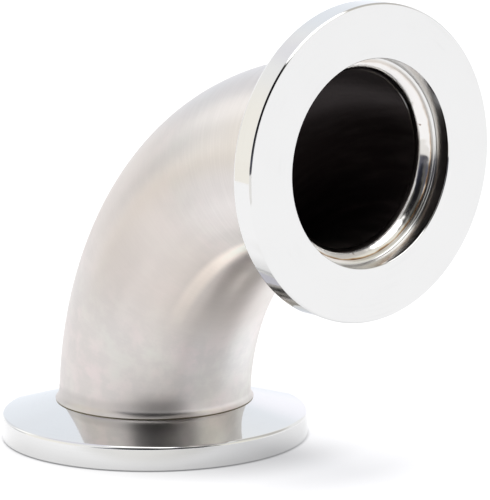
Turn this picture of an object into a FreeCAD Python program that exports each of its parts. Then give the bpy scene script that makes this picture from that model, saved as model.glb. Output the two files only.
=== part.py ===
"""Vacuum elbow: a bent tube with a clamp flange welded on each end.

Frame: origin at the centre of the lower flange's sealing face, +Z up along the lower tube end,
+X out of the upper flange, and the bend in the plane y = 0. Millimetres and degrees.
"""

import FreeCAD
import Part
import Sketcher
import os

# Driving sizes of the elbow. Each one is set by itself; whatever seats on or fits in something
# else is worked out from them below.
SIZES = {
    "flange_diameter": 40.0,     # outside of the clamp rim
    "rim_height": 3.2,           # from the sealing face to where rim and taper would meet
    "rim_fillet": 0.45,          # rounding between rim and taper
    "taper_angle": 15.0,         # clamp taper, from the plane of the flange
    "face_chamfer": 0.2,         # edge break round the sealing face
    "recess_ledge": 0.65,        # width of the recess floor, from the socket to the recess wall
    "recess_depth": 2.5,
    "recess_fillet": 0.4,        # corner of the recess floor
    "recess_chamfer": 0.1,       # edge break at the mouth of the recess
    "land_margin": 0.1,          # flat left on the flange outside the tube's shoulder
    "tube_diameter": 25.0,
    "tube_wall": 1.3,
    "bend_radius": 38.5,         # of the tube's centre line
    "tube_straight": 0.2,        # straight end of the tube before the bend
    "spigot_cut": 0.1,           # radial depth to which each end is turned down, true to its flange
    "socket_clearance": 0.05,    # radial, between spigot and socket
    "swell_growth": 0.45,        # how far the tube's shoulder stands out from the tube
    "swell_height": 2.2,         # from the flange's land to the swelling's end inside the tube's wall
    "swell_sink": 0.1,           # depth of that end below the tube's surface, outside the bend
    "swell_blend": 1.0,          # rounding where the swelling meets the tube
    "shoulder_break": 0.14,      # edge break under the shoulder, the dark line round the joint
    "weld_leg": 0.8,             # depth of the tube's end below the recess floor
    "weld_rounding": 1.86,       # of the weld's face, which runs smoothly out of the bore
}

# Worked-out sizes, as expressions of the sheet's cells.
FLANGE_RADIUS = "(Sizes.flange_diameter / 2)"
TUBE_RADIUS = "(Sizes.tube_diameter / 2)"
BORE_RADIUS = f"({TUBE_RADIUS} - Sizes.tube_wall)"
SPIGOT_RADIUS = f"({TUBE_RADIUS} - Sizes.spigot_cut)"
SOCKET_RADIUS = f"({SPIGOT_RADIUS} + Sizes.socket_clearance)"
RECESS_RADIUS = f"({SOCKET_RADIUS} + Sizes.recess_ledge)"
SHOULDER_RADIUS = f"({TUBE_RADIUS} + Sizes.swell_growth)"
LAND_RADIUS = f"({SHOULDER_RADIUS} + Sizes.land_margin)"
LAND_HEIGHT = f"(Sizes.rim_height + ({FLANGE_RADIUS} - {LAND_RADIUS}) * tan(Sizes.taper_angle * 1 deg))"
TUBE_END = "(Sizes.recess_depth + Sizes.weld_leg)"
BEND_START = f"({TUBE_END} + Sizes.tube_straight)"
CENTRE_TO_FACE = f"({BEND_START} + Sizes.bend_radius)"
SWELL_INSIDE = f"({TUBE_RADIUS} - Sizes.tube_wall / 2)"
SWELL_START = f"({LAND_HEIGHT} + Sizes.shoulder_break)"
SWELL_TOP = f"({LAND_HEIGHT} + Sizes.swell_height)"
# The bend has moved the tube this far sideways by the top of the swelling.
SWELL_DRIFT = f"(Sizes.bend_radius - sqrt(Sizes.bend_radius ^ 2 - ({SWELL_TOP} - {BEND_START}) ^ 2))"
SWELL_TOP_RADIUS = f"({TUBE_RADIUS} - {SWELL_DRIFT} - Sizes.swell_sink)"
SWELL_SIDE = f"({SHOULDER_RADIUS} - {SWELL_TOP_RADIUS})"
SWELL_ARC = f"((({SWELL_TOP} - {SWELL_START}) ^ 2 + {SWELL_SIDE} ^ 2) / (2 * {SWELL_SIDE}))"
WELD_WIDTH = f"({SOCKET_RADIUS} - {BORE_RADIUS})"
WELD_DEPTH = f"sqrt({WELD_WIDTH} * (2 * Sizes.weld_rounding - {WELD_WIDTH}))"
WELD_ROOT = f"(Sizes.recess_depth + {WELD_DEPTH})"

FULL_TURN = 360
SIDEWAYS_TURN = -90     # about Y: brings a flange's own +Z onto -X
MATCH = 1e-4            # how closely an edge has to lie where it is looked for


def make_sheet(doc):
    """Puts the driving sizes into a spreadsheet, one named cell each."""
    sheet = doc.addObject("Spreadsheet::Sheet", "Sizes")
    for row, (name, size) in enumerate(SIZES.items(), start=1):
        sheet.set(f"A{row}", name)
        sheet.set(f"B{row}", str(size))
        sheet.setAlias(f"B{row}", name)
    doc.recompute()
    return sheet


def value(expression):
    """The number that an expression of the sheet's cells gives."""
    sheet = FreeCAD.ActiveDocument.getObject("Sizes")
    result = sheet.evalExpression(expression)
    return float(getattr(result, "Value", result))


def make_body(doc, name):
    body = doc.addObject("PartDesign::Body", name)
    body.Label = name
    return body


def new_sketch(body, name, plane_role):
    """An empty sketch on one of the body's own origin planes."""
    plane = next(f for f in body.Origin.OriginFeatures if f.Role == plane_role)
    sketch = body.newObject("Sketcher::SketchObject", name)
    sketch.AttachmentSupport = [(plane, "")]
    sketch.MapMode = "FlatFace"
    return sketch


def constrain(sketch, kind, places, expression):
    """Adds a measured constraint and binds it to an expression."""
    number = sketch.addConstraint(Sketcher.Constraint(kind, *places, value(expression)))
    sketch.setExpression(f"Constraints[{number}]", expression)


def pin_point(sketch, edge, end, across, up):
    """Holds the start (1) or end (2) of an edge at its distances from the sketch's origin."""
    for kind, axis, expression in (("DistanceX", -2, across), ("DistanceY", -1, up)):
        if expression == "0":
            sketch.addConstraint(Sketcher.Constraint("PointOnObject", edge, end, axis))
        else:
            constrain(sketch, kind, (-1, 1, edge, end), expression)


def draw_outline(sketch, corners, arcs, closed=True):
    """Draws lines from corner to corner, with an arc where arcs gives its centre and radius.

    A corner is a pair of expressions. An arc is keyed by the number of the corner it leaves, and
    holds its centre's two expressions, its radius and whether it turns anticlockwise.
    """
    points = [FreeCAD.Vector(value(x), value(y), 0) for x, y in corners]
    count = len(corners) if closed else len(corners) - 1
    start_end = {}
    for i in range(count):
        a = points[i]
        b = points[(i + 1) % len(points)]
        if i not in arcs:
            sketch.addGeometry(Part.LineSegment(a, b))
            start_end[i] = (1, 2)
            continue
        centre_x, centre_y, radius, anticlockwise = arcs[i]
        centre = FreeCAD.Vector(value(centre_x), value(centre_y), 0)
        first, last = (a, b) if anticlockwise else (b, a)
        circle = Part.Circle(centre, FreeCAD.Vector(0, 0, 1), value(radius))
        sketch.addGeometry(Part.ArcOfCircle(circle, circle.parameter(first), circle.parameter(last)))
        start_end[i] = (1, 2) if anticlockwise else (2, 1)
    for i in range(count):
        pin_point(sketch, i, start_end[i][0], *corners[i])
        if i + 1 < count:
            join = (i, start_end[i][1], i + 1, start_end[i + 1][0])
            sketch.addConstraint(Sketcher.Constraint("Coincident", *join))
    if closed:
        join = (count - 1, start_end[count - 1][1], 0, start_end[0][0])
        sketch.addConstraint(Sketcher.Constraint("Coincident", *join))
    else:
        pin_point(sketch, count - 1, start_end[count - 1][1], *corners[-1])
    for i, (_, _, radius, _) in arcs.items():
        constrain(sketch, "Radius", (i,), radius)


def draw_circles(sketch, radii):
    """Draws circles about the sketch's origin."""
    for number, radius in enumerate(radii):
        sketch.addGeometry(Part.Circle(FreeCAD.Vector(), FreeCAD.Vector(0, 0, 1), value(radius)))
        sketch.addConstraint(Sketcher.Constraint("Coincident", number, 3, -1, 1))
        constrain(sketch, "Radius", (number,), radius)


def revolve(body, sketch, name, axis="V_Axis", kind="Revolution"):
    feature = body.newObject(f"PartDesign::{kind}", name)
    feature.Profile = sketch
    feature.ReferenceAxis = (sketch, [axis])
    feature.Angle = FULL_TURN
    sketch.Visibility = False


def ring_edge(feature, radius, height):
    """Name of the circular edge about the body's Z axis with this radius and height."""
    for number, edge in enumerate(feature.Shape.Edges, start=1):
        if not isinstance(edge.Curve, Part.Circle):
            continue
        centre = edge.Curve.Center
        on_axis = abs(centre.x) < MATCH and abs(centre.y) < MATCH
        if on_axis and abs(centre.z - height) < MATCH and abs(edge.Curve.Radius - radius) < MATCH:
            return f"Edge{number}"
    raise RuntimeError(f"{feature.Label} has no edge of radius {radius} at height {height}")


def crease_edges(feature, first_radius, second_radius):
    """Names of the edges where tori with these two minor radii meet."""
    names = []
    for number, edge in enumerate(feature.Shape.Edges, start=1):
        faces = feature.Shape.ancestorsOfType(edge, Part.Face)
        tori = [face.Surface for face in faces if isinstance(face.Surface, Part.Toroid)]
        radii = sorted(torus.MinorRadius for torus in tori)
        wanted = sorted((first_radius, second_radius))
        if len(radii) == 2 and all(abs(a - b) < MATCH for a, b in zip(radii, wanted)):
            names.append(f"Edge{number}")
    return names


def bore_pocket(body, name, radius, depth=None):
    """Cuts a round pocket into the sealing face, to a depth or right through."""
    sketch = new_sketch(body, f"{name}_sketch", "XY_Plane")
    draw_circles(sketch, [radius])
    pocket = body.newObject("PartDesign::Pocket", name)
    pocket.Profile = sketch
    pocket.Reversed = True
    if depth is None:
        pocket.Type = "ThroughAll"
    else:
        pocket.Type = "Length"
        pocket.setExpression("Length", depth)
    sketch.Visibility = False
    return pocket


def round_edge(doc, body, name, radius, height, size):
    """Fillets the circular edge of this radius and height."""
    doc.recompute()
    base = body.Tip
    fillet = body.newObject("PartDesign::Fillet", name)
    fillet.Base = (base, [ring_edge(base, value(radius), value(height))])
    fillet.setExpression("Radius", size)
    return fillet


def break_edge(doc, body, name, radius, size):
    """Chamfers the circular edge of this radius in the sealing face."""
    doc.recompute()
    base = body.Tip
    chamfer = body.newObject("PartDesign::Chamfer", name)
    chamfer.Base = (base, [ring_edge(base, value(radius), 0)])
    chamfer.setExpression("Size", size)
    return chamfer


def make_flange(doc, name):
    """A clamp flange, turned from bar: sealing face at its own z = 0, taper and land above it."""
    body = make_body(doc, name)
    outline = new_sketch(body, f"{name}_outline", "XZ_Plane")
    draw_outline(outline, [
        ("0", "0"),
        (FLANGE_RADIUS, "0"),
        (FLANGE_RADIUS, "Sizes.rim_height"),
        (LAND_RADIUS, LAND_HEIGHT),
        ("0", LAND_HEIGHT),
    ], {})
    revolve(body, outline, f"{name}_blank")
    bore_pocket(body, f"{name}_recess", RECESS_RADIUS, "Sizes.recess_depth")
    bore_pocket(body, f"{name}_socket", SOCKET_RADIUS)
    round_edge(doc, body, f"{name}_rim", FLANGE_RADIUS, "Sizes.rim_height", "Sizes.rim_fillet")
    round_edge(doc, body, f"{name}_floor", RECESS_RADIUS, "Sizes.recess_depth", "Sizes.recess_fillet")
    break_edge(doc, body, f"{name}_face_edge", FLANGE_RADIUS, "Sizes.face_chamfer")
    break_edge(doc, body, f"{name}_mouth_edge", RECESS_RADIUS, "Sizes.recess_chamfer")
    return body


def make_weld_bead(doc, name):
    """The weld that has melted the tube's end into the flange, from the bore to the socket's edge."""
    body = make_body(doc, name)
    section = new_sketch(body, f"{name}_section", "XZ_Plane")
    draw_outline(section, [
        (BORE_RADIUS, WELD_ROOT),
        (SOCKET_RADIUS, "Sizes.recess_depth"),
        (SOCKET_RADIUS, TUBE_END),
        (SPIGOT_RADIUS, TUBE_END),
    ], {0: (f"({BORE_RADIUS} + Sizes.weld_rounding)", WELD_ROOT, "Sizes.weld_rounding", True)})
    revolve(body, section, f"{name}_ring")
    return body


def turn_sideways(body):
    """Sets a flange or bead, made about the lower axis, on the upper end of the elbow."""
    turn = FreeCAD.Rotation(FreeCAD.Vector(0, 1, 0), SIDEWAYS_TURN)
    body.Placement = FreeCAD.Placement(FreeCAD.Vector(), turn)
    body.setExpression("Placement.Base.x", CENTRE_TO_FACE)
    body.setExpression("Placement.Base.z", CENTRE_TO_FACE)


def at_upper_end(radius, height):
    """A point in the plane of the bend, given by its radius and height about the upper flange."""
    return (f"({CENTRE_TO_FACE} - {height})", f"({CENTRE_TO_FACE} + {radius})")


def turn_both_ends(doc, body, name, kind, corners, arc=None):
    """Turns one section about each flange's axis: corners and arc centre as radius and height.

    The arc, if there is one, leaves corner 2 clockwise.
    """
    for end, move, axis in (("lower", None, "V_Axis"), ("upper", at_upper_end, "Axis0")):
        sketch = new_sketch(body, f"{name}_{end}_section", "XZ_Plane")
        points = corners if move is None else [move(*corner) for corner in corners]
        arcs = {}
        if arc is not None:
            centre = arc[:2] if move is None else move(*arc[:2])
            arcs = {2: (*centre, arc[2], False)}
        draw_outline(sketch, points, arcs)
        if move is not None:
            ends = (("0", CENTRE_TO_FACE), (CENTRE_TO_FACE, CENTRE_TO_FACE))
            line = Part.LineSegment(*(FreeCAD.Vector(value(x), value(y), 0) for x, y in ends))
            number = sketch.addGeometry(line, True)
            pin_point(sketch, number, 1, *ends[0])
            pin_point(sketch, number, 2, *ends[1])
        revolve(body, sketch, f"{name}_{end}", axis, kind)
        doc.recompute()


def make_elbow_tube(doc, name):
    """The bent tube, each end turned down to a spigot, melted inside it and swollen just above it."""
    body = make_body(doc, name)
    path = new_sketch(body, f"{name}_path", "XZ_Plane")
    draw_outline(path, [
        ("0", TUBE_END),
        ("0", BEND_START),
        ("Sizes.bend_radius", CENTRE_TO_FACE),
        (f"({CENTRE_TO_FACE} - {TUBE_END})", CENTRE_TO_FACE),
    ], {1: ("Sizes.bend_radius", BEND_START, "Sizes.bend_radius", False)}, closed=False)
    section = new_sketch(body, f"{name}_section", "XY_Plane")
    section.setExpression("AttachmentOffset.Base.z", TUBE_END)
    draw_circles(section, [TUBE_RADIUS, BORE_RADIUS])
    doc.recompute()
    pipe = body.newObject("PartDesign::AdditivePipe", f"{name}_bend")
    pipe.Profile = section
    pipe.Spine = (path, ["Edge1", "Edge2", "Edge3"])
    section.Visibility = False
    path.Visibility = False

    turn_both_ends(doc, body, f"{name}_spigot", "Groove", [
        (SPIGOT_RADIUS, TUBE_END),
        (LAND_RADIUS, TUBE_END),
        (LAND_RADIUS, LAND_HEIGHT),
        (SPIGOT_RADIUS, LAND_HEIGHT),
    ])
    # The weld starts on a cone from the spigot's end to the weld's root; the cut runs on inwards.
    inner_radius = f"(2 * {BORE_RADIUS} - {SPIGOT_RADIUS})"
    turn_both_ends(doc, body, f"{name}_melted_end", "Groove", [
        (SPIGOT_RADIUS, TUBE_END),
        (inner_radius, f"(2 * {WELD_ROOT} - {TUBE_END})"),
        (inner_radius, TUBE_END),
    ])
    turn_both_ends(doc, body, f"{name}_swell", "Revolution", [
        (SWELL_INSIDE, LAND_HEIGHT),
        (f"({SHOULDER_RADIUS} - Sizes.shoulder_break)", LAND_HEIGHT),
        (SHOULDER_RADIUS, SWELL_START),
        (SWELL_TOP_RADIUS, SWELL_TOP),
        (SWELL_INSIDE, SWELL_TOP),
    ], (f"({SWELL_TOP_RADIUS} + {SWELL_ARC})", SWELL_TOP, SWELL_ARC))
    swelled = body.Tip
    creases = crease_edges(swelled, value(SWELL_ARC), value(TUBE_RADIUS))
    blend = body.newObject("PartDesign::Fillet", f"{name}_blend")
    blend.Base = (swelled, creases)
    blend.setExpression("Radius", "Sizes.swell_blend")
    return body


def check_document(doc):
    """Stops if any object failed, or any body has no valid shape."""
    for item in doc.Objects:
        if "Invalid" in item.State or "Error" in item.State:
            raise RuntimeError(f"{item.Label} failed: {item.State}")
    bodies = [item for item in doc.Objects if item.TypeId == "PartDesign::Body"]
    for body in bodies:
        if body.Shape.isNull() or not body.Shape.isValid():
            raise RuntimeError(f"{body.Label} has no valid shape")
    return bodies


def main():
    doc = FreeCAD.newDocument("vacuum_elbow")
    make_sheet(doc)
    make_elbow_tube(doc, "elbow_tube")
    make_flange(doc, "lower_flange")
    make_weld_bead(doc, "lower_weld_bead")
    turn_sideways(make_flange(doc, "upper_flange"))
    turn_sideways(make_weld_bead(doc, "upper_weld_bead"))
    doc.recompute()
    os.makedirs("parts", exist_ok=True)
    for body in check_document(doc):
        body.Shape.exportStep(os.path.join("parts", f"{body.Label}.step"))
        box = body.Shape.optimalBoundingBox(False)
        print(f"{body.Label}: {len(body.Shape.Solids)} solid, {body.Shape.Volume:.1f} mm3,",
              f"x {box.XMin:.2f} to {box.XMax:.2f}, y {box.YMin:.2f} to {box.YMax:.2f},",
              f"z {box.ZMin:.2f} to {box.ZMax:.2f}")


main()
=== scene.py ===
"""Looks of a vacuum elbow: a satin bent tube with a mirror-polished clamp flange on each end.

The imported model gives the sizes. Each piece is modelled anew, smooth enough for mirror finishes, and
stands for its own node. Everything is in metres, in the model's frame: +Z up along the lower end of
the tube, +X out of the upper flange, and the bend in the plane y = 0.
"""

import math

import bmesh
import bpy
from bpy.props import FloatProperty, FloatVectorProperty, IntProperty, PointerProperty
from mathutils import Matrix, Vector


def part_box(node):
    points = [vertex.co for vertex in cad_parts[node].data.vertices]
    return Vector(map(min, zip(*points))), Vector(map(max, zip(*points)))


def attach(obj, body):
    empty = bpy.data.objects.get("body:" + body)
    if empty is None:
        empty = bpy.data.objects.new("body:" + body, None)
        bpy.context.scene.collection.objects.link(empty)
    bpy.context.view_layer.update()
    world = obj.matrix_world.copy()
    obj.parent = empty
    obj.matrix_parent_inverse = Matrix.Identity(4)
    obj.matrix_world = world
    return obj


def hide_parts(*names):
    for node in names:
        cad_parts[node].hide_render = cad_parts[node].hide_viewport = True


bl_info = {
    "name": "Vacuum Elbow",
    "version": (1, 0, 0),
    "blender": (4, 5, 0),
    "location": "View3D > Sidebar > Elbow",
    "description": "Models and finishes a vacuum elbow and sets it in a small studio",
    "category": "Object",
}

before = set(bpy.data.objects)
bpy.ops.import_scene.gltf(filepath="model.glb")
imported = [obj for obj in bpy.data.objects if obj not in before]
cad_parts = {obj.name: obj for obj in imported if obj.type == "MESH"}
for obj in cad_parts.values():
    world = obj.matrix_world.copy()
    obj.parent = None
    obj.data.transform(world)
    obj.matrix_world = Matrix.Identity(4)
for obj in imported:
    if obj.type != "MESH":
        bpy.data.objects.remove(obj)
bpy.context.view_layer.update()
FLANGE_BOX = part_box("lower_flange")
TUBE_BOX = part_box("elbow_tube")
BEAD_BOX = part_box("lower_weld_bead")
UPPER_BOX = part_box("upper_flange")

FULL_TURN = 2 * math.pi
SHARP_ANGLE = math.radians(28)
IMAGE_WIDTH = 490
IMAGE_HEIGHT = 500
SENSOR = 36.0

# Points this near each other count as one, and a point this near a ring counts as on it.
MERGE_DISTANCE = 1e-7
RING_DISTANCE = 2e-6

# The swelling's rows start this far below its top. Where its curve meets the bend, the two blend over
# this much.
SWELL_LAP = 0.0002
SWELL_BLEND = 0.00022

# The bow of each ripple of the weld, as its lag at both ends, and the slow waves that keep the ripples
# from being evenly spaced: size, waves in one turn, and start. All are parts of a ripple, in radians.
RIPPLE_BOW = 2.16
RIPPLE_WANDER = ((0.5, 3, 1.1), (0.35, 7, 0.4))

# How much a pattern is squeezed across the lines round the tube, and across the rings of the flanges.
LINE_SQUEEZE = 0.04
RING_SQUEEZE = 0.02

# Shades of the satin steel, as factors on its colour.
GREENISH = (0.975, 1.01, 0.98)
PINKISH = (1.04, 0.985, 1.0)
WARM = (0.945, 0.905, 0.87)

# The azimuth of the side that the photograph shows, and the one that counts as the floor's front.
SEEN_SIDE = math.radians(48.7)
FLOOR_FRONT = math.radians(45)

# A Mix node's sockets for colours, which share their names with its sockets for numbers.
MIX_A, MIX_B, MIX_RESULT = 6, 7, 2

SOFTBOX_SIDE = 1.7
SOFTBOX_PLACE = Vector((0.05, -0.30, 2.38))
SOFTBOX_TARGET = Vector((0.02, 0, 0.02))
SOFTBOX_COLOUR = (1.0, 0.985, 0.95)

# Patches of the room that differ from white, each over the ones before it: azimuth, elevation, inner
# and outer radius in degrees, and colour.
ROOM_PATCHES = (
    (-85, 64, 14, 26, (0.84, 0.83, 0.92)),
    (-122, 16, 16, 36, (0.92, 0.96, 1.02)),
    (-146, 10, 6, 16, (1.08, 1.08, 1.15)),
    (-40, 5, 20, 45, (1.08, 1.05, 0.98)),
    (-80, 28, 5, 13, (1.30, 1.30, 1.28)),
    (-73, 8, 5, 13, (0.80, 0.81, 0.82)),
    (-104, 0, 5, 14, (1.12, 1.12, 1.12)),
    (-106, 22, 5, 14, (0.86, 0.88, 0.92)),
    (152, 44, 20, 36, (0.62, 0.60, 0.57)),
    (118, 22, 16, 30, (0.92, 0.90, 0.82)),
    (45, -5, 40, 48, (0.10, 0.105, 0.145)),
    (55, 34, 27, 37, (0.12, 0.118, 0.11)),
    (34, 18, 12, 20, (0.018, 0.02, 0.03)),
    (55, 33, 13, 24, (0.012, 0.012, 0.014)),
    (92, 18, 5, 12, (0.025, 0.025, 0.022)),
    (100, 66, 21, 25, (2.2, 2.2, 2.2)),
    (-70, 83, 9, 14, (2.2, 2.2, 2.2)),
    (25, 80, 10, 15, (2.2, 2.2, 2.2)),
)

# What the steel mirrors of the floor: a factor on its light in front of the rim, and its light past the
# sheet, on the left, on the right and far in front. Then the floor's reach and the sheet's soft edge.
# SHADED_FLOOR is painted shade on the glow in front of the rim, seen only in the steel.
SHADED_FLOOR = (0.715, 0.705, 0.675)
FAR_FLOOR_LEFT = (1.20, 1.16, 1.08)
FAR_FLOOR_RIGHT = (1.06, 1.05, 1.03)
DARK_FAR_FLOOR = (0.11, 0.11, 0.13)
FLOOR_REACH = 6.0
SHEET_BLUR = 0.004

# Painted highlights and painted shade on the tube: areas lighter or darker than the rest. First the
# degrees round the tube, counted from its inner side, where an area starts, is full, is full still and
# ends. Then the same four places in millimetres along the centre line, and last the factor on the
# steel's colour.
PAINTED_TUBE_LIGHT = (
    ((-46.5, -41.5, -38.5, -33.5), (16, 39, 60, 70), (1.42, 1.39, 1.33)),
    ((-56, -46, -40, -36), (34, 42, 60, 70), (1.14, 1.14, 1.13)),
    ((-32, -20, 24, 40), (-10, 0, 18, 27), (1.11, 1.12, 1.13)),
    ((-6, 10, 16, 40), (2, 14, 34, 40), (1.11, 1.14, 1.15)),
    ((-132, -118, -110, -98), (14, 22, 48, 56), (1.06, 1.07, 1.08)),
    ((-106, -94, -82, -70), (34, 43, 50, 58), (0.91, 0.91, 0.91)),
    ((-104, -94, -80, -68), (12, 20, 26, 34), (0.93, 0.93, 0.93)),
    ((-32, -22, -4, 6), (22, 30, 38, 46), (0.92, 0.92, 0.92)),
    ((-66, -50, -34, -26), (6, 16, 28, 40), (1.11, 1.11, 1.11)),
    ((-66, -56, -38, -28), (30, 38, 50, 62), (1.08, 1.08, 1.08)),
)


def length(name, description, default):
    """A size in metres that the sidebar shows with its unit."""
    return FloatProperty(name=name, description=description, default=default, unit="LENGTH", precision=5)


def share(name, description, default):
    return FloatProperty(name=name, description=description, default=default, subtype="FACTOR",
                         min=0, max=1)


def colour(name, description, default):
    return FloatVectorProperty(name=name, description=description, default=default, subtype="COLOR",
                               min=0, max=1)


def angle(name, description, degrees):
    return FloatProperty(name=name, description=description, default=math.radians(degrees),
                         subtype="ANGLE")


class ElbowSizes(bpy.types.PropertyGroup):
    """Sizes of the tube, the flanges and the welds."""

    tube_radius: length("Tube radius", "Outside radius of the tube", 0.0125)
    tube_wall: length("Tube wall", "Thickness of the tube's wall", 0.0013)
    bend_radius: length("Bend radius", "Radius of the tube's centre line in the bend", 0.0385)
    centre_to_face: length("Centre to face", "From each sealing face to the other end's axis",
                           UPPER_BOX[1].x)
    tube_end: length("Tube end", "Depth of the tube's end below the sealing face", TUBE_BOX[0].z)
    spigot_radius: length("Spigot radius", "Radius of the turned end inside the flange", 0.0124)
    shoulder_radius: length("Shoulder radius", "Radius of the tube where it meets the flange",
                            -TUBE_BOX[0].x)
    shoulder_break: length("Shoulder break", "Edge break under the shoulder", 0.00014)
    swell_height: length("Swelling height", "Length of the swelling above the flange", 0.0022)
    swell_sink: length("Swelling sink", "Depth at which the swelling's curve ends in the wall", 0.0001)
    flange_radius: length("Flange radius", "Radius of the clamp rim", FLANGE_BOX[1].x)
    rim_height: length("Rim height", "From the sealing face to the start of the taper", 0.0032)
    rim_fillet: length("Rim fillet", "Rounding between rim and taper", 0.00045)
    face_chamfer: length("Face chamfer", "Edge break round the sealing face", 0.0002)
    land_radius: length("Land radius", "Outer radius of the flat round the tube", 0.01305)
    land_height: length("Land height", "From the sealing face to that flat", FLANGE_BOX[1].z)
    socket_radius: length("Socket radius", "Radius of the hole that takes the tube", BEAD_BOX[1].x)
    recess_radius: length("Recess radius", "Radius of the seat for the centring ring", 0.0131)
    recess_depth: length("Recess depth", "Depth of that seat", BEAD_BOX[0].z)
    recess_fillet: length("Recess fillet", "Rounding at the recess floor", 0.0004)
    recess_chamfer: length("Recess chamfer", "Edge break at the recess mouth", 0.0001)
    edge_softness: length("Edge softness", "Polished rounding of the chamfers' edges", 0.00004)
    weld_rounding: length("Weld rounding", "Radius of the weld's face, which runs out of the bore",
                          0.00186)
    weld_root: length("Weld root", "Depth at which the weld's face leaves the bore", BEAD_BOX[1].z)
    ripple_depth: length("Ripple depth", "Height of the ripples along the weld", 0.000004)
    ripples: IntProperty(name="Ripples", description="Ripples in one turn of the weld", default=64)


class ElbowFinish(bpy.types.PropertyGroup):
    """Colours and gloss of the metal."""

    satin_colour: colour("Satin steel", "Colour of the bent tube", (0.612, 0.582, 0.566))
    satin_roughness: share("Satin roughness", "How soft the tube's reflections are", 0.30)
    crevice_tint: colour("Crevice tint", "Olive tint where the tube meets a flange", (0.30, 0.27, 0.20))
    # The bore's dark colour is painted shade; its dullness and streaks are its own.
    bore_colour: colour("Bore", "Colour of the dull inside of the tube", (0.17, 0.145, 0.142))
    bore_roughness: share("Bore roughness", "How dull the inside of the tube is", 0.34)
    polished_colour: colour("Polished steel", "Colour of the flanges", (0.70, 0.70, 0.695))
    polished_roughness: share("Polished roughness", "How soft the flanges' reflections are", 0.05)
    recess_roughness: share("Recess roughness", "How soft the reflections in the recess are", 0.20)
    weld_colour: colour("Weld metal", "Colour of the welds", (0.73, 0.715, 0.70))
    weld_roughness: share("Weld roughness", "How soft the welds' reflections are", 0.12)
    straw_tint: colour("Straw tint", "Paler colour of the heat tint", (0.46, 0.34, 0.22))
    brown_tint: colour("Brown tint", "Darker colour of the heat tint", (0.15, 0.07, 0.035))


class ElbowStudio(bpy.types.PropertyGroup):
    """The floor, the light and the camera."""

    floor_colour: colour("Floor", "Colour of the floor", (0.25, 0.25, 0.25))
    floor_glow: colour("Floor glow", "Light that the floor gives from below", (0.655, 0.66, 0.685))
    sheet_edge: length("Sheet edge", "Where the bright sheet under the elbow ends in front", 0.124)
    sheet_turn: angle("Sheet turn", "Azimuth towards which that edge faces", 17)
    room_light: FloatProperty(name="Room light", description="Brightness of the white room",
                              default=1.12)
    key_power: FloatProperty(name="Overhead softbox", description="Power of the softbox above",
                             default=86.0, unit="POWER")
    azimuth: angle("Azimuth", "Camera's angle round the elbow, from -Y towards +X", 48.712)
    elevation: angle("Elevation", "Camera's angle above the floor", 12.035)
    roll: angle("Roll", "Camera's turn about its own line of sight", -0.497)
    distance: length("Distance", "From the camera to the point it looks at", 0.6581)
    target_x: length("Target X", "Where the camera looks, along X", 0.018166)
    target_z: length("Target Z", "Where the camera looks, up", 0.027446)
    focal_pixels: FloatProperty(name="Focal length", description="In pixels of the picture",
                                default=5168.7)


def straight_length(sizes):
    """From each sealing face to where the bend starts."""
    return sizes.centre_to_face - sizes.bend_radius


def upper_end_matrix(sizes):
    """Moves a flange or weld made about the lower axis to the upper end."""
    reach = sizes.centre_to_face
    return Matrix.Translation((reach, 0, reach)) @ Matrix.Rotation(-math.pi / 2, 4, "Y")


def bend_mirror(sizes):
    """Swaps the two ends of the bend: the elbow is the same on both sides of its diagonal."""
    centre = Vector((sizes.bend_radius, 0, straight_length(sizes)))
    swap = Matrix(((0, 0, -1, 0), (0, 1, 0, 0), (-1, 0, 0, 0), (0, 0, 0, 1)))
    return Matrix.Translation(centre) @ swap @ Matrix.Translation(-centre)


def turned_solid(corners, steps):
    """Spins a closed outline of (radius, height) corners once round Z."""
    bm = bmesh.new()
    verts = [bm.verts.new((radius, 0, height)) for radius, height in corners]
    edges = [bm.edges.new(pair) for pair in zip(verts, verts[1:] + verts[:1])]
    bmesh.ops.spin(bm, geom=verts + edges, cent=(0, 0, 0), axis=(0, 0, 1), angle=FULL_TURN, steps=steps,
                   use_merge=True)
    bmesh.ops.remove_doubles(bm, verts=bm.verts, dist=MERGE_DISTANCE)
    bmesh.ops.recalc_face_normals(bm, faces=bm.faces)
    return bm


def ring_edges(bm, radius, height):
    """The edges of the circle about Z with this radius and height."""
    on_ring = {v for v in bm.verts if abs(math.hypot(v.co.x, v.co.y) - radius) < RING_DISTANCE
               and abs(v.co.z - height) < RING_DISTANCE}
    return [e for e in bm.edges if all(v in on_ring for v in e.verts)]


def break_ring(bm, radius, height, offset, segments):
    edges = ring_edges(bm, radius, height)
    if not edges:
        raise RuntimeError(f"no ring of radius {radius:.6f} at height {height:.6f}")
    bmesh.ops.bevel(bm, geom=edges, offset=offset, offset_type="OFFSET", affect="EDGES",
                    segments=segments, profile=0.5, material=-1)


def mark_sharp(bm):
    for face in bm.faces:
        face.smooth = True
    for edge in bm.edges:
        edge.smooth = len(edge.link_faces) == 2 and edge.calc_face_angle() < SHARP_ANGLE


def make_piece(bm, name, node, materials):
    """Ends a piece: sets its shading, lets it ride on the body and makes it stand for its node."""
    mark_sharp(bm)
    mesh = bpy.data.meshes.new(name)
    bm.to_mesh(mesh)
    bm.free()
    for material in materials:
        mesh.materials.append(material)
    piece = bpy.data.objects.new(name, mesh)
    bpy.context.scene.collection.objects.link(piece)
    weights = piece.modifiers.new("Even shading", "WEIGHTED_NORMAL")
    weights.mode = "FACE_AREA"
    weights.weight = 100
    weights.keep_sharp = True
    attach(piece, "root")
    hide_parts(node)


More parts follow.
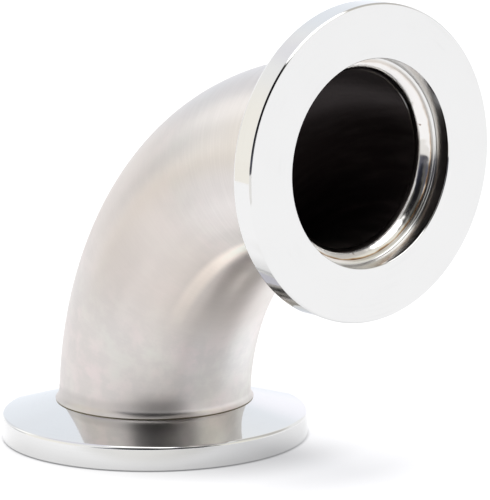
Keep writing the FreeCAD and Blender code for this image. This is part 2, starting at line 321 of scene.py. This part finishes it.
def flange_solid(sizes, steps=288):
    """The clamp flange about the lower axis, with its polished edges rounded."""
    taper_rise = sizes.land_height - sizes.rim_height
    taper_angle = math.atan2(taper_rise, sizes.flange_radius - sizes.land_radius)
    bm = turned_solid([
        (sizes.recess_radius, 0),
        (sizes.flange_radius, 0),
        (sizes.flange_radius, sizes.rim_height),
        (sizes.land_radius, sizes.land_height),
        (sizes.socket_radius, sizes.land_height),
        (sizes.socket_radius, sizes.recess_depth),
        (sizes.recess_radius, sizes.recess_depth),
    ], steps)
    fillet_offset = sizes.rim_fillet * math.tan((math.pi / 2 - taper_angle) / 2)
    break_ring(bm, sizes.flange_radius, sizes.rim_height, fillet_offset, segments=10)
    break_ring(bm, sizes.recess_radius, sizes.recess_depth, sizes.recess_fillet, segments=8)
    for radius, chamfer, side in ((sizes.flange_radius, sizes.face_chamfer, -1),
                                  (sizes.recess_radius, sizes.recess_chamfer, 1)):
        break_ring(bm, radius, 0, chamfer, segments=1)
        break_ring(bm, radius, chamfer, sizes.edge_softness, segments=2)
        break_ring(bm, radius + side * chamfer, 0, sizes.edge_softness, segments=2)
    return bm


def ripple(sizes, co):
    """How far the weld's ripples lift a point of its open face."""
    bore = sizes.tube_radius - sizes.tube_wall
    width = sizes.socket_radius - bore
    radius = math.hypot(co.x, co.y)
    across = (radius - bore) / width
    turn = math.atan2(co.y, co.x)
    bow = RIPPLE_BOW * (2 * across - 1) ** 2
    wander = sum(size * math.sin(waves * turn + start) for size, waves, start in RIPPLE_WANDER)
    wave = math.sin(sizes.ripples * turn - bow + wander)
    lift = sizes.ripple_depth * math.sin(math.pi * across) * wave
    slope = math.acos(1 - across * width / sizes.weld_rounding)
    inward = -math.cos(slope) * lift / radius
    return Vector((co.x * inward, co.y * inward, -math.sin(slope) * lift))


def weld_solid(sizes, steps=384, face_points=16):
    """The weld's ring about the lower axis, with the ripples of its passes on the open face."""
    bore = sizes.tube_radius - sizes.tube_wall
    rounding = sizes.weld_rounding
    width = sizes.socket_radius - bore
    last_turn = math.acos(1 - width / rounding)
    outline = []
    for i in range(face_points + 1):
        turn = last_turn * i / face_points
        outline.append((bore + rounding * (1 - math.cos(turn)),
                        sizes.weld_root - rounding * math.sin(turn)))
    outline += [(sizes.socket_radius, sizes.tube_end), (sizes.spigot_radius, sizes.tube_end)]
    bm = turned_solid(outline, steps)
    still = {v for radius, height in (outline[0], *outline[-3:])
             for e in ring_edges(bm, radius, height) for v in e.verts}
    for vert in bm.verts:
        if vert not in still:
            vert.co += ripple(sizes, vert.co)
    bmesh.ops.recalc_face_normals(bm, faces=bm.faces)
    return bm


class TubeShape:
    """The tube's outside near its lower end, as radii about the flange's axis."""

    def __init__(self, sizes):
        self.sizes = sizes
        self.bend_x = sizes.bend_radius
        self.bend_z = straight_length(sizes)
        self.swell_start = sizes.land_height + sizes.shoulder_break
        self.swell_top = sizes.land_height + sizes.swell_height
        rise = self.swell_top - self.bend_z
        drift = sizes.bend_radius - math.sqrt(sizes.bend_radius ** 2 - rise ** 2)
        self.top_radius = sizes.tube_radius - drift - sizes.swell_sink
        side = sizes.shoulder_radius - self.top_radius
        self.arc = ((self.swell_top - self.swell_start) ** 2 + side ** 2) / (2 * side)

    def bend_start_angle(self, reach, height):
        """Angle round the bend at which a point this far from its centre reaches a height."""
        return math.asin((height - self.bend_z) / reach)

    def trim(self, verts, height):
        """Draws both ends of a quarter torus back to a plane parallel to each flange."""
        centre = Vector((self.bend_x, 0, self.bend_z))
        for vert in verts:
            arm = vert.co - centre
            reach = math.hypot(arm.x, arm.z)
            share_turned = math.atan2(arm.z, -arm.x) / (math.pi / 2)
            start = self.bend_start_angle(reach, height)
            turn = start + share_turned * (math.pi / 2 - 2 * start)
            vert.co = centre + Vector((-reach * math.cos(turn), arm.y, reach * math.sin(turn)))

    def torus_radius(self, azimuth, height, tries=8):
        """Radius of the plain bent tube at an azimuth about the lower axis and a height.

        Each try turns the point round the tube by the angle that it still lacks.
        """
        radius = self.sizes.tube_radius
        rise = height - self.bend_z
        turn = azimuth
        for _ in range(tries):
            reach = self.bend_x - radius * math.cos(turn)
            x = self.bend_x - math.sqrt(reach ** 2 - rise ** 2)
            y = radius * math.sin(turn)
            turn += math.remainder(azimuth - math.atan2(y, x), FULL_TURN)
        return math.hypot(x, y)

    def swollen_radius(self, azimuth, height):
        """The larger of the tube and the swelling's hollow curve, blended where they meet."""
        tube = self.torus_radius(azimuth, height)
        below = self.swell_top - height
        swell = self.top_radius + self.arc - math.sqrt(self.arc ** 2 - below ** 2)
        overlap = max(0.0, SWELL_BLEND - abs(tube - swell))
        return max(tube, swell) + overlap ** 2 / (4 * SWELL_BLEND)


def boundary_ring(bm, keep):
    """Open edges whose ends all pass a test."""
    return [e for e in bm.edges if e.is_boundary and all(keep(v.co) for v in e.verts)]


def extrude_ring(bm, edges, place):
    """Extrudes a ring of edges and puts each new vertex where place says."""
    made = bmesh.ops.extrude_edge_only(bm, edges=edges)["geom"]
    verts = {g for g in made if isinstance(g, bmesh.types.BMVert)}
    for vert in verts:
        vert.co = place(vert.co)
    return [g for g in made if isinstance(g, bmesh.types.BMEdge) and all(v in verts for v in g.verts)]


def bent_shell(bm, sizes, radius, round_steps, bend_steps):
    """Adds a quarter torus about the bend's centre and returns its vertices."""
    before = set(bm.verts)
    start_z = straight_length(sizes)
    circle = bmesh.ops.create_circle(bm, cap_ends=False, segments=round_steps, radius=radius,
                                     matrix=Matrix.Translation((0, 0, start_z)))["verts"]
    edges = {e for v in circle for e in v.link_edges}
    bmesh.ops.spin(bm, geom=list(circle) + list(edges), cent=(sizes.bend_radius, 0, start_z),
                   axis=(0, 1, 0), angle=math.pi / 2, steps=bend_steps)
    return [v for v in bm.verts if v not in before]


def tube_solid(sizes, round_steps=192, bend_steps=110, swell_steps=26):
    """The bent tube: outside, swollen shoulders, turned spigots, end faces and bore in one shell."""
    shape = TubeShape(sizes)
    bm = bmesh.new()
    outside = bent_shell(bm, sizes, sizes.tube_radius, round_steps, bend_steps)
    swell_end = shape.swell_top - SWELL_LAP
    shape.trim(outside, swell_end)
    inside = bent_shell(bm, sizes, sizes.tube_radius - sizes.tube_wall, round_steps, bend_steps)
    shape.trim(inside, sizes.weld_root)

    swell_length = shape.swell_start - swell_end
    rings = [(swell_end + swell_length * i / swell_steps, None) for i in range(1, swell_steps + 1)]
    rings += [
        (sizes.land_height, sizes.shoulder_radius - sizes.shoulder_break),
        (sizes.land_height, sizes.spigot_radius),
        (sizes.tube_end, sizes.spigot_radius),
    ]

    def ring_place(flip, height, radius):
        def place(co):
            local = flip @ co
            azimuth = math.atan2(local.y, local.x)
            reach = shape.swollen_radius(azimuth, height) if radius is None else radius
            return flip @ Vector((reach * math.cos(azimuth), reach * math.sin(azimuth), height))
        return place

    def in_plane(flip, height):
        return lambda co: abs((flip @ co).z - height) < MERGE_DISTANCE

    # A flip brings a point of one end to the lower end, and back again.
    for flip in (Matrix.Identity(4), bend_mirror(sizes)):
        bore_ring = boundary_ring(bm, in_plane(flip, sizes.weld_root))
        edges = boundary_ring(bm, in_plane(flip, swell_end))
        for height, radius in rings:
            edges = extrude_ring(bm, edges, ring_place(flip, height, radius))
        bmesh.ops.bridge_loops(bm, edges=edges + bore_ring)
    bmesh.ops.recalc_face_normals(bm, faces=bm.faces)

    # Faces past nine tenths of the wall, counted from outside, are the bore's.
    bore_limit = sizes.tube_radius - 0.9 * sizes.tube_wall
    for face in bm.faces:
        distance = distance_from_centre_line(face.calc_center_median(), shape)
        face.material_index = int(distance < bore_limit)
    return bm


def distance_from_centre_line(co, shape):
    """How far a point is from the middle of the tube."""
    arm_x, arm_z = shape.bend_x - co.x, co.z - shape.bend_z
    if arm_z < 0:
        return math.hypot(co.x, co.y)
    if arm_x < 0:
        return math.hypot(arm_z - shape.bend_x, co.y)
    return math.hypot(math.hypot(arm_x, arm_z) - shape.bend_x, co.y)


class Finish:
    """A node material that is built up step by step on Object coordinates."""

    def __init__(self, name):
        self.material = bpy.data.materials.new(name)
        self.material.use_nodes = True
        self.tree = self.material.node_tree
        self.tree.nodes.clear()
        output = self.tree.nodes.new("ShaderNodeOutputMaterial")
        self.shader = self.tree.nodes.new("ShaderNodeBsdfPrincipled")
        self.tree.links.new(self.shader.outputs["BSDF"], output.inputs["Surface"])
        self.place = self.tree.nodes.new("ShaderNodeTexCoord").outputs["Object"]

    def put(self, socket, source):
        """Links a socket to another node's output, or sets its number."""
        if isinstance(source, bpy.types.NodeSocket):
            self.tree.links.new(source, socket)
        else:
            socket.default_value = source

    def moved(self, matrix):
        """Object coordinates brought from a piece's place back to the lower axis."""
        node = self.tree.nodes.new("ShaderNodeMapping")
        back = matrix.inverted()
        node.inputs["Location"].default_value = back.to_translation()
        node.inputs["Rotation"].default_value = back.to_euler("XYZ")
        self.put(node.inputs["Vector"], self.place)
        return node.outputs["Vector"]

    def split(self, vector):
        node = self.tree.nodes.new("ShaderNodeSeparateXYZ")
        self.put(node.inputs[0], vector)
        return node.outputs

    def join(self, x, y, z):
        node = self.tree.nodes.new("ShaderNodeCombineXYZ")
        for socket, source in zip(node.inputs, (x, y, z)):
            self.put(socket, source)
        return node.outputs[0]

    def math(self, operation, a, b=0.0):
        node = self.tree.nodes.new("ShaderNodeMath")
        node.operation = operation
        self.put(node.inputs[0], a)
        self.put(node.inputs[1], b)
        return node.outputs[0]

    def times(self, first, *others):
        """The product of two or more values."""
        product = first
        for other in others:
            product = self.math("MULTIPLY", product, other)
        return product

    def hypotenuse(self, a, b):
        return self.math("SQRT", self.math("ADD", self.times(a, a), self.times(b, b)))

    def towards(self, azimuth):
        """How far a point lies from the lower axis in the direction of an azimuth."""
        x, y, _ = self.split(self.place)
        return self.math("SUBTRACT", self.times(x, math.sin(azimuth)), self.times(y, math.cos(azimuth)))

    def band(self, source, low, high, to_low=0.0, to_high=1.0, smooth=True):
        """Maps a range of a value onto another range, and holds it there outside."""
        node = self.tree.nodes.new("ShaderNodeMapRange")
        node.interpolation_type = "SMOOTHSTEP" if smooth else "LINEAR"
        limits = {"From Min": low, "From Max": high, "To Min": to_low, "To Max": to_high}
        for name, number in limits.items():
            node.inputs[name].default_value = number
        self.put(node.inputs["Value"], source)
        return node.outputs["Result"]

    def below(self, source, full, end):
        """One up to the first place and nothing after the second."""
        return self.band(source, full, end, 1.0, 0.0)

    def hill(self, source, start, full, still_full, end):
        """One between the middle two places, and nothing before the first and after the last."""
        return self.times(self.band(source, start, full), self.below(source, still_full, end))

    def noise(self, vector, scale, detail=2.0, roughness=0.5):
        node = self.tree.nodes.new("ShaderNodeTexNoise")
        self.put(node.inputs["Vector"], vector)
        node.inputs["Scale"].default_value = scale
        node.inputs["Detail"].default_value = detail
        node.inputs["Roughness"].default_value = roughness
        return node.outputs["Fac"]

    def wavering(self, measure, noise, reach):
        """A measure shifted by a noise, by up to half the reach each way."""
        return self.math("ADD", measure, self.times(self.math("SUBTRACT", noise, 0.5), reach))

    def blend(self, factor, a, b, kind="MIX"):
        node = self.tree.nodes.new("ShaderNodeMix")
        node.data_type = "RGBA"
        node.blend_type = kind
        self.put(node.inputs["Factor"], factor)
        for place, source in ((MIX_A, a), (MIX_B, b)):
            opaque = source if isinstance(source, bpy.types.NodeSocket) else (*source, 1)
            self.put(node.inputs[place], opaque)
        return node.outputs[MIX_RESULT]

    def bump(self, height, distance, strength, normal=None):
        node = self.tree.nodes.new("ShaderNodeBump")
        node.inputs["Strength"].default_value = strength
        node.inputs["Distance"].default_value = distance
        self.put(node.inputs["Height"], height)
        if normal is not None:
            self.put(node.inputs["Normal"], normal)
        return node.outputs["Normal"]

    def metal(self, base, roughness, normal):
        self.shader.inputs["Metallic"].default_value = 1.0
        self.put(self.shader.inputs["Base Color"], base)
        self.put(self.shader.inputs["Roughness"], roughness)
        self.put(self.shader.inputs["Normal"], normal)
        return self.material


def tinted(tint, factors):
    """A colour with a factor on each of its channels, none of them brighter than white."""
    return tuple(min(1.0, channel * factor) for channel, factor in zip(tint, factors))


def scaled(tint, factor):
    return tinted(tint, (factor, factor, factor))


def straightened(finish, sizes):
    """Coordinates along the unbent tube: out from the bend, across it, and along the centre line."""
    x, y, z = finish.split(finish.place)
    arm_x = finish.math("SUBTRACT", sizes.bend_radius, x)
    arm_z = finish.math("SUBTRACT", z, straight_length(sizes))
    out = finish.math("SUBTRACT", finish.hypotenuse(arm_x, arm_z), sizes.bend_radius)
    along = finish.times(finish.math("ARCTAN2", arm_z, arm_x), sizes.bend_radius)
    return out, y, along


def satin_steel(sizes, looks):
    """The outside of the tube: blasted satin, with fine lines round it towards the upper end."""
    finish = Finish("satin_steel")
    out, across, along = straightened(finish, sizes)
    steel = looks.satin_colour
    bend_length = sizes.bend_radius * math.pi / 2
    stretched = finish.join(finish.times(out, LINE_SQUEEZE), finish.times(across, LINE_SQUEEZE), along)
    lines = finish.noise(stretched, scale=3600, roughness=0.6)
    cloud = finish.noise(finish.place, scale=130, detail=3.0, roughness=0.6)
    patches = finish.noise(finish.place, scale=420, detail=3.0, roughness=0.6)
    grain = finish.noise(finish.place, scale=4200, roughness=0.6)
    lined = finish.band(along, 0.62 * bend_length, 0.86 * bend_length, 0.2, 1.0)
    middle = finish.hill(along, *(share_of * bend_length for share_of in (0.22, 0.42, 0.55, 0.80)))
    upper = finish.band(along, 0.60 * bend_length, 0.88 * bend_length)

    tone = finish.blend(finish.band(cloud, 0.3, 0.7), tinted(steel, GREENISH), tinted(steel, PINKISH))
    tone = finish.blend(finish.band(patches, 0.38, 0.62, 0.0, 0.9), tone, scaled(steel, 0.93))
    tone = finish.blend(finish.times(middle, 0.75), tone, tinted(steel, WARM))
    tone = finish.blend(upper, tone, scaled(steel, 1.05))
    bright_lines = finish.times(finish.band(lines, 0.42, 0.66), lined)
    tone = finish.blend(finish.times(bright_lines, 0.22), tone, scaled(steel, 1.25))
    around = finish.math("ARCTAN2", across, finish.times(out, -1.0))
    # Painted highlights and painted shade, laid on one area after another.
    for degrees, millimetres, factor in PAINTED_TUBE_LIGHT:
        area = finish.times(finish.hill(around, *(math.radians(d) for d in degrees)),
                            finish.hill(along, *(0.001 * m for m in millimetres)))
        tone = finish.blend(area, tone, factor, "MULTIPLY")
    tone = darken_foot_and_crevices(finish, sizes, looks, cloud, tone)

    roughness = finish.band(along, 0.30 * bend_length, 0.58 * bend_length,
                            looks.satin_roughness + 0.06, looks.satin_roughness)
    roughness = finish.math("ADD", roughness, finish.band(cloud, 0.3, 0.7, -0.012, 0.012))
    normal = finish.bump(finish.times(lines, lined), distance=0.00001, strength=0.5)
    normal = finish.bump(grain, distance=0.000006, strength=0.35, normal=normal)
    return finish.metal(tone, roughness, normal)


def darken_foot_and_crevices(finish, sizes, looks, cloud, tone):
    """Darkens the swelling at the lower end, and tints the crevice where the tube meets each flange."""
    x, _, z = finish.split(finish.place)
    foot = sizes.land_height
    swell = foot + sizes.swell_height
    ahead = finish.towards(SEEN_SIDE)
    sideways = finish.towards(SEEN_SIDE + math.pi / 2)

    # A darker collar with a ragged edge, up to the top of the swelling, that fades out on the right.
    ragged_z = finish.wavering(z, cloud, 0.0012)
    collar = finish.times(finish.below(ragged_z, swell - 0.0005, swell + 0.0005),
                          finish.below(x, 0.025, 0.03),
                          finish.below(sideways, 0.002, 0.006))
    tone = finish.blend(finish.times(collar, 0.5), tone, scaled(looks.satin_colour, 0.72))

    # A darker patch at the foot, in the middle of the seen side.
    foot_dark_patch = finish.times(finish.hill(sideways, -0.0044, 0.0004, 0.0012, 0.0056),
                         finish.below(z, foot + 0.0012, foot + 0.0042),
                         finish.band(ahead, 0.004, 0.008))
    tone = finish.blend(finish.times(foot_dark_patch, 0.78), tone, scaled(looks.satin_colour, 0.36))

    # The crevice under each shoulder.
    crevice, crevice_end = foot + 0.00004, foot + 0.00022
    low = finish.below(z, crevice, crevice_end)
    high = finish.band(x, sizes.centre_to_face - crevice_end, sizes.centre_to_face - crevice)
    return finish.blend(finish.math("MAXIMUM", low, high), tone, looks.crevice_tint)


def bore_steel(sizes, looks):
    """The dull inside of the tube, streaked along its length; its dark colour is painted shade in the
    bore.
    """
    finish = Finish("bore_steel")
    out, across, along = straightened(finish, sizes)
    stretched = finish.join(out, across, finish.times(along, 0.12))
    streaks = finish.noise(stretched, scale=900, detail=3.0, roughness=0.6)
    tone = finish.blend(finish.band(streaks, 0.4, 0.75), looks.bore_colour,
                        scaled(looks.bore_colour, 1.35))
    roughness = finish.band(streaks, 0.3, 0.7, looks.bore_roughness - 0.05, looks.bore_roughness + 0.08)
    return finish.metal(tone, roughness, finish.bump(streaks, distance=0.00001, strength=0.4))


def polished_steel(sizes, looks, name, matrix):
    """A mirror finish with faint turning marks, softer in the recess and tinted next to the weld."""
    finish = Finish(name)
    local = finish.moved(matrix)
    x, y, z = finish.split(local)
    radius = finish.hypotenuse(x, y)
    steel = looks.polished_colour
    patches = finish.noise(local, scale=130)
    rings = finish.join(finish.times(x, RING_SQUEEZE), finish.times(y, RING_SQUEEZE),
                        finish.math("ADD", radius, z))
    marks = finish.noise(rings, scale=2600, detail=1.5, roughness=0.6)
    haze = finish.times(finish.band(marks, 0.45, 0.75), finish.band(patches, 0.45, 0.7))

    tone = finish.blend(finish.band(patches, 0.3, 0.7, 0.0, 0.5), steel, scaled(steel, 0.985))
    tone = finish.blend(finish.times(haze, 0.6), tone, scaled(steel, 0.955))
    heat = finish.times(finish.band(z, sizes.recess_depth - 0.00045, sizes.recess_depth - 0.00002),
                        finish.band(radius, sizes.recess_radius - 0.0001, sizes.socket_radius))
    tone = finish.blend(finish.times(heat, 0.35), tone, looks.straw_tint)

    inside = finish.below(radius, sizes.recess_radius + 0.00002, sizes.recess_radius + 0.0001)
    depth = finish.hill(z, 0.0002, 0.0004, sizes.land_height - 0.0008, sizes.land_height - 0.0004)
    roughness = finish.band(haze, 0.0, 1.0, looks.polished_roughness, looks.polished_roughness + 0.06,
                            smooth=False)
    softer = finish.times(inside, depth, looks.recess_roughness - looks.polished_roughness)
    roughness = finish.math("ADD", roughness, softer)
    return finish.metal(tone, roughness, finish.bump(marks, distance=0.000003, strength=0.12))


def weld_metal(sizes, looks, name, matrix):
    """Bright weld metal with a few dark nicks, straw and brown along its outer toe."""
    finish = Finish(name)
    local = finish.moved(matrix)
    x, y, _ = finish.split(local)
    patches = finish.noise(local, scale=420, roughness=0.6)
    nicks = finish.band(finish.noise(local, scale=1500, detail=1.0), 0.74, 0.79)
    edge = finish.wavering(finish.hypotenuse(x, y), patches, 0.0004)
    toe = sizes.socket_radius
    hot_side = finish.band(x, -0.006, 0.008, 1.0, 0.2)
    straw = finish.times(finish.band(edge, toe - 0.00026, toe - 0.00010), hot_side)
    brown = finish.times(finish.band(edge, toe - 0.00012, toe - 0.00002), hot_side)

    tone = finish.blend(straw, looks.weld_colour, looks.straw_tint)
    tone = finish.blend(brown, tone, looks.brown_tint)
    tone = finish.blend(finish.times(nicks, 0.7), tone, looks.brown_tint)
    roughness = finish.band(patches, 0.3, 0.7, looks.weld_roughness - 0.03, looks.weld_roughness + 0.05)
    return finish.metal(tone, roughness, finish.bump(patches, distance=0.00001, strength=0.25))


def near_floor_light(finish, studio, footprint, mirrored):
    """The near floor's glow, with painted shade: least under the flange, and dimmer close in front of
    it.

    The steel mirrors a dimmer floor in front of the rim than the camera sees.
    """
    x, y, _ = finish.split(finish.place)
    from_axis = finish.hypotenuse(x, y)
    ahead = finish.towards(FLOOR_FRONT)
    # Painted contact shade: the glow dims close to the rim, in front.
    near = finish.times(finish.band(from_axis, footprint, footprint + 0.010, 0.3, 0.0),
                        finish.band(ahead, 0.0, 0.012))
    # Painted shade under the flange.
    covered = finish.band(from_axis, footprint - 0.0004, footprint + 0.0004, 0.4, 1.0)
    open_floor = finish.times(covered, finish.math("SUBTRACT", 1.0, near))
    # Painted shade that only the steel mirrors, further in front of the rim.
    front = finish.times(finish.below(from_axis, footprint + 0.010, footprint + 0.022),
                         finish.band(ahead, 0.0225, 0.0285), mirrored)
    glow = finish.blend(front, studio.floor_glow, tinted(studio.floor_glow, SHADED_FLOOR))
    return finish.blend(open_floor, (0, 0, 0), glow)


def make_floor(studio, footprint):
    """A pale floor lit from below. Past the edge of a bright sheet, the steel mirrors another floor."""
    bm = bmesh.new()
    bmesh.ops.create_grid(bm, x_segments=1, y_segments=1, size=FLOOR_REACH)
    mesh = bpy.data.meshes.new("floor")
    bm.to_mesh(mesh)
    bm.free()
    finish = Finish("floor_paper")
    x, _, _ = finish.split(finish.place)
    mirrored = finish.tree.nodes.new("ShaderNodeLightPath").outputs["Is Glossy Ray"]
    past_sheet = finish.band(finish.towards(studio.sheet_turn), studio.sheet_edge - SHEET_BLUR,
                             studio.sheet_edge + SHEET_BLUR)
    beyond = finish.times(past_sheet, mirrored)
    grain = finish.band(finish.noise(finish.place, scale=40), 0.2, 0.8)
    paper = finish.blend(grain, scaled(studio.floor_colour, 0.995), studio.floor_colour)
    far = finish.blend(finish.band(x, -0.1, 0.1), FAR_FLOOR_LEFT, FAR_FLOOR_RIGHT)
    far = finish.blend(finish.band(finish.towards(FLOOR_FRONT), 0.42, 0.50), far, DARK_FAR_FLOOR)
    glow = near_floor_light(finish, studio, footprint, mirrored)
    finish.put(finish.shader.inputs["Base Color"], finish.blend(beyond, paper, (0, 0, 0)))
    finish.put(finish.shader.inputs["Emission Color"], finish.blend(beyond, glow, far))
    finish.shader.inputs["Emission Strength"].default_value = 1.0
    finish.shader.inputs["Roughness"].default_value = 0.9
    finish.shader.inputs["Specular IOR Level"].default_value = 0.0
    mesh.materials.append(finish.material)
    floor = bpy.data.objects.new("floor", mesh)
    bpy.context.scene.collection.objects.link(floor)


def sky_direction(azimuth, elevation):
    """The direction at these angles; the azimuth turns from -Y towards +X."""
    return Vector((math.sin(azimuth) * math.cos(elevation), -math.cos(azimuth) * math.cos(elevation),
                   math.sin(elevation)))


def make_room(studio):
    """A white room with a few tinted or dark patches, which the polished and satin steel reflect."""
    world = bpy.data.worlds.new("studio_room")
    bpy.context.scene.world = world
    world.use_nodes = True
    tree = world.node_tree
    tree.nodes.clear()
    output = tree.nodes.new("ShaderNodeOutputWorld")
    background = tree.nodes.new("ShaderNodeBackground")
    tree.links.new(background.outputs[0], output.inputs["Surface"])
    way = tree.nodes.new("ShaderNodeTexCoord").outputs["Generated"]
    paint = None
    for *angles, tint in ROOM_PATCHES:
        azimuth, elevation, inner, outer = (math.radians(degrees) for degrees in angles)
        dot = tree.nodes.new("ShaderNodeVectorMath")
        dot.operation = "DOT_PRODUCT"
        tree.links.new(way, dot.inputs[0])
        dot.inputs[1].default_value = sky_direction(azimuth, elevation)
        shade = tree.nodes.new("ShaderNodeMapRange")
        shade.interpolation_type = "SMOOTHSTEP"
        tree.links.new(dot.outputs["Value"], shade.inputs["Value"])
        shade.inputs["From Min"].default_value = math.cos(outer)
        shade.inputs["From Max"].default_value = math.cos(inner)
        mix = tree.nodes.new("ShaderNodeMix")
        mix.data_type = "RGBA"
        tree.links.new(shade.outputs["Result"], mix.inputs["Factor"])
        mix.inputs[MIX_A].default_value = (1, 1, 1, 1)
        if paint is not None:
            tree.links.new(paint, mix.inputs[MIX_A])
        mix.inputs[MIX_B].default_value = (*tint, 1)
        paint = mix.outputs[MIX_RESULT]
    tree.links.new(paint, background.inputs["Color"])
    background.inputs["Strength"].default_value = studio.room_light


def make_softbox(studio):
    """One large soft light overhead, which the steel doesn't mirror."""
    light = bpy.data.lights.new("overhead_softbox", "AREA")
    light.shape = "RECTANGLE"
    light.size = light.size_y = SOFTBOX_SIDE
    light.energy = studio.key_power
    light.color = SOFTBOX_COLOUR
    lamp = bpy.data.objects.new("overhead_softbox", light)
    lamp.location = SOFTBOX_PLACE
    lamp.rotation_euler = (SOFTBOX_TARGET - SOFTBOX_PLACE).to_track_quat("-Z", "Y").to_euler()
    lamp.visible_glossy = False
    bpy.context.scene.collection.objects.link(lamp)


def make_camera(studio):
    """The camera that the photograph was taken with, as far as its outlines tell."""
    back = sky_direction(studio.azimuth, studio.elevation)
    right = (-back).cross(Vector((0, 0, 1))).normalized()
    up = right.cross(-back)
    turned_right = right * math.cos(studio.roll) + up * math.sin(studio.roll)
    turned_up = up * math.cos(studio.roll) - right * math.sin(studio.roll)
    data = bpy.data.cameras.new("camera")
    data.sensor_width = SENSOR
    data.lens = studio.focal_pixels * SENSOR / max(IMAGE_WIDTH, IMAGE_HEIGHT)
    data.clip_start = 0.01
    data.clip_end = 20.0
    camera = bpy.data.objects.new("camera", data)
    place = Vector((studio.target_x, 0, studio.target_z)) + back * studio.distance
    turn = Matrix((turned_right, turned_up, back)).transposed()
    camera.matrix_world = Matrix.Translation(place) @ turn.to_4x4()
    bpy.context.scene.collection.objects.link(camera)
    bpy.context.scene.camera = camera


class ELBOW_OT_tube(bpy.types.Operator):
    """Model the bent tube"""

    bl_idname = "elbow.tube"
    bl_label = "Bent Tube"

    def execute(self, context):
        sizes, looks = context.scene.elbow_sizes, context.scene.elbow_finish
        materials = [satin_steel(sizes, looks), bore_steel(sizes, looks)]
        make_piece(tube_solid(sizes), "bent_tube", "elbow_tube", materials)
        return {"FINISHED"}


class ELBOW_OT_flanges(bpy.types.Operator):
    """Model the two clamp flanges"""

    bl_idname = "elbow.flanges"
    bl_label = "Clamp Flanges"

    def execute(self, context):
        sizes, looks = context.scene.elbow_sizes, context.scene.elbow_finish
        for end, matrix in (("lower", Matrix.Identity(4)), ("upper", upper_end_matrix(sizes))):
            bm = flange_solid(sizes)
            bmesh.ops.transform(bm, matrix=matrix, verts=bm.verts)
            finish = polished_steel(sizes, looks, f"{end}_polished_steel", matrix)
            make_piece(bm, f"{end}_clamp_flange", f"{end}_flange", [finish])
        return {"FINISHED"}


class ELBOW_OT_welds(bpy.types.Operator):
    """Model the weld inside each flange"""

    bl_idname = "elbow.welds"
    bl_label = "Inner Welds"

    def execute(self, context):
        sizes, looks = context.scene.elbow_sizes, context.scene.elbow_finish
        for end, matrix in (("lower", Matrix.Identity(4)), ("upper", upper_end_matrix(sizes))):
            bm = weld_solid(sizes)
            bmesh.ops.transform(bm, matrix=matrix, verts=bm.verts)
            finish = weld_metal(sizes, looks, f"{end}_weld_metal", matrix)
            make_piece(bm, f"{end}_weld", f"{end}_weld_bead", [finish])
        return {"FINISHED"}


class ELBOW_OT_studio(bpy.types.Operator):
    """Set the floor, the room, the light and the camera"""

    bl_idname = "elbow.studio"
    bl_label = "Studio"

    def execute(self, context):
        studio = context.scene.elbow_studio
        make_floor(studio, context.scene.elbow_sizes.flange_radius)
        make_room(studio)
        make_softbox(studio)
        make_camera(studio)
        context.scene.view_settings.view_transform = "Standard"
        return {"FINISHED"}


class ELBOW_PT_panel(bpy.types.Panel):
    """Lists the elbow's sizes, finishes and pieces"""

    bl_idname = "ELBOW_PT_panel"
    bl_label = "Vacuum Elbow"
    bl_space_type = "VIEW_3D"
    bl_region_type = "UI"
    bl_category = "Elbow"

    def draw(self, context):
        layout = self.layout
        for group in (context.scene.elbow_sizes, context.scene.elbow_finish, context.scene.elbow_studio):
            box = layout.box()
            for name in group.__annotations__:
                box.prop(group, name)
        for operator in OPERATORS:
            layout.operator(operator.bl_idname)


GROUPS = {"elbow_sizes": ElbowSizes, "elbow_finish": ElbowFinish, "elbow_studio": ElbowStudio}
OPERATORS = (ELBOW_OT_tube, ELBOW_OT_flanges, ELBOW_OT_welds, ELBOW_OT_studio)


def register():
    for cls in (*GROUPS.values(), *OPERATORS, ELBOW_PT_panel):
        bpy.utils.register_class(cls)
    for name, group in GROUPS.items():
        setattr(bpy.types.Scene, name, PointerProperty(type=group))


def unregister():
    for name in GROUPS:
        delattr(bpy.types.Scene, name)
    for cls in reversed((*GROUPS.values(), *OPERATORS, ELBOW_PT_panel)):
        bpy.utils.unregister_class(cls)


def main():
    register()
    bpy.ops.elbow.tube()
    bpy.ops.elbow.flanges()
    bpy.ops.elbow.welds()
    bpy.ops.elbow.studio()


if __name__ == "__main__":
    main()
